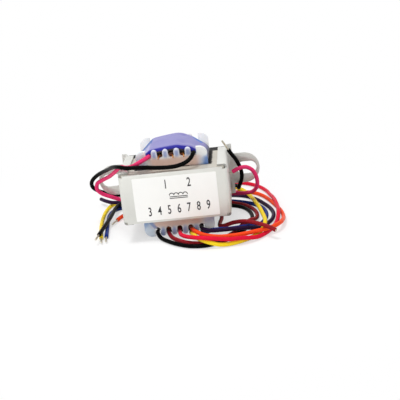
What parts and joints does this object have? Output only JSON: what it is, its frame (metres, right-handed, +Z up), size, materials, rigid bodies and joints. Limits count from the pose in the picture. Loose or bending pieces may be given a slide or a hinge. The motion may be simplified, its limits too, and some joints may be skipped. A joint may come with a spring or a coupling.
{
  "type": "speaker line transformer",
  "caption": "Open-frame speaker line transformer: laminated core in a folded steel clamp with slotted ears, taped coil on a combed bobbin, loose coloured leads.",
  "frame": {"origin": "middle of the object's base without its leads, on the table it lies on", "axes": "+X along the ears, +Y out of the back of the ears, towards the surface it is screwed to, +Z up"},
  "size_m": [0.0832, 0.0908, 0.0373],
  "materials": {
    "plated_sheet": "plated, satin",
    "core_steel": "dull, annealed",
    "varnished_core": "dark varnish",
    "nylon": "milky, moulded",
    "enamelled_wire": "enamelled copper",
    "barrier_tape": "film",
    "film_tape": "film",
    "label_paper": "smooth",
    "pvc_black": "glossy",
    "pvc_brown": "glossy",
    "pvc_red": "glossy",
    "pvc_orange": "glossy",
    "pvc_yellow": "glossy",
    "pvc_purple": "glossy",
    "pvc_blue": "glossy",
    "pvc_pink": "glossy",
    "tinned_wire": "tinned copper"
  },
  "bodies": {
    "root": {"clamp_frame": "plated_sheet", "e_laminations": "core_steel", "i_laminations": "varnished_core", "bobbin": "nylon", "primary_winding": "enamelled_wire", "interwinding_tape": "barrier_tape", "secondary_winding": "enamelled_wire", "outer_tape": "film_tape", "label_sticker": "label_paper", "lead_black": "pvc_black", "lead_brown": "pvc_brown", "lead_red": "pvc_red", "lead_orange": "pvc_orange", "lead_yellow": "pvc_yellow", "lead_purple": "pvc_purple", "lead_blue": "pvc_blue", "output_lead_black": "pvc_black", "output_lead_pink": "pvc_pink", "tip_black": "tinned_wire", "tip_brown": "tinned_wire", "tip_red": "tinned_wire", "tip_orange": "tinned_wire", "tip_yellow": "tinned_wire", "tip_purple": "tinned_wire", "tip_blue": "tinned_wire", "output_tip_black": "tinned_wire", "output_tip_pink": "tinned_wire"}
  },
  "joints": []
}
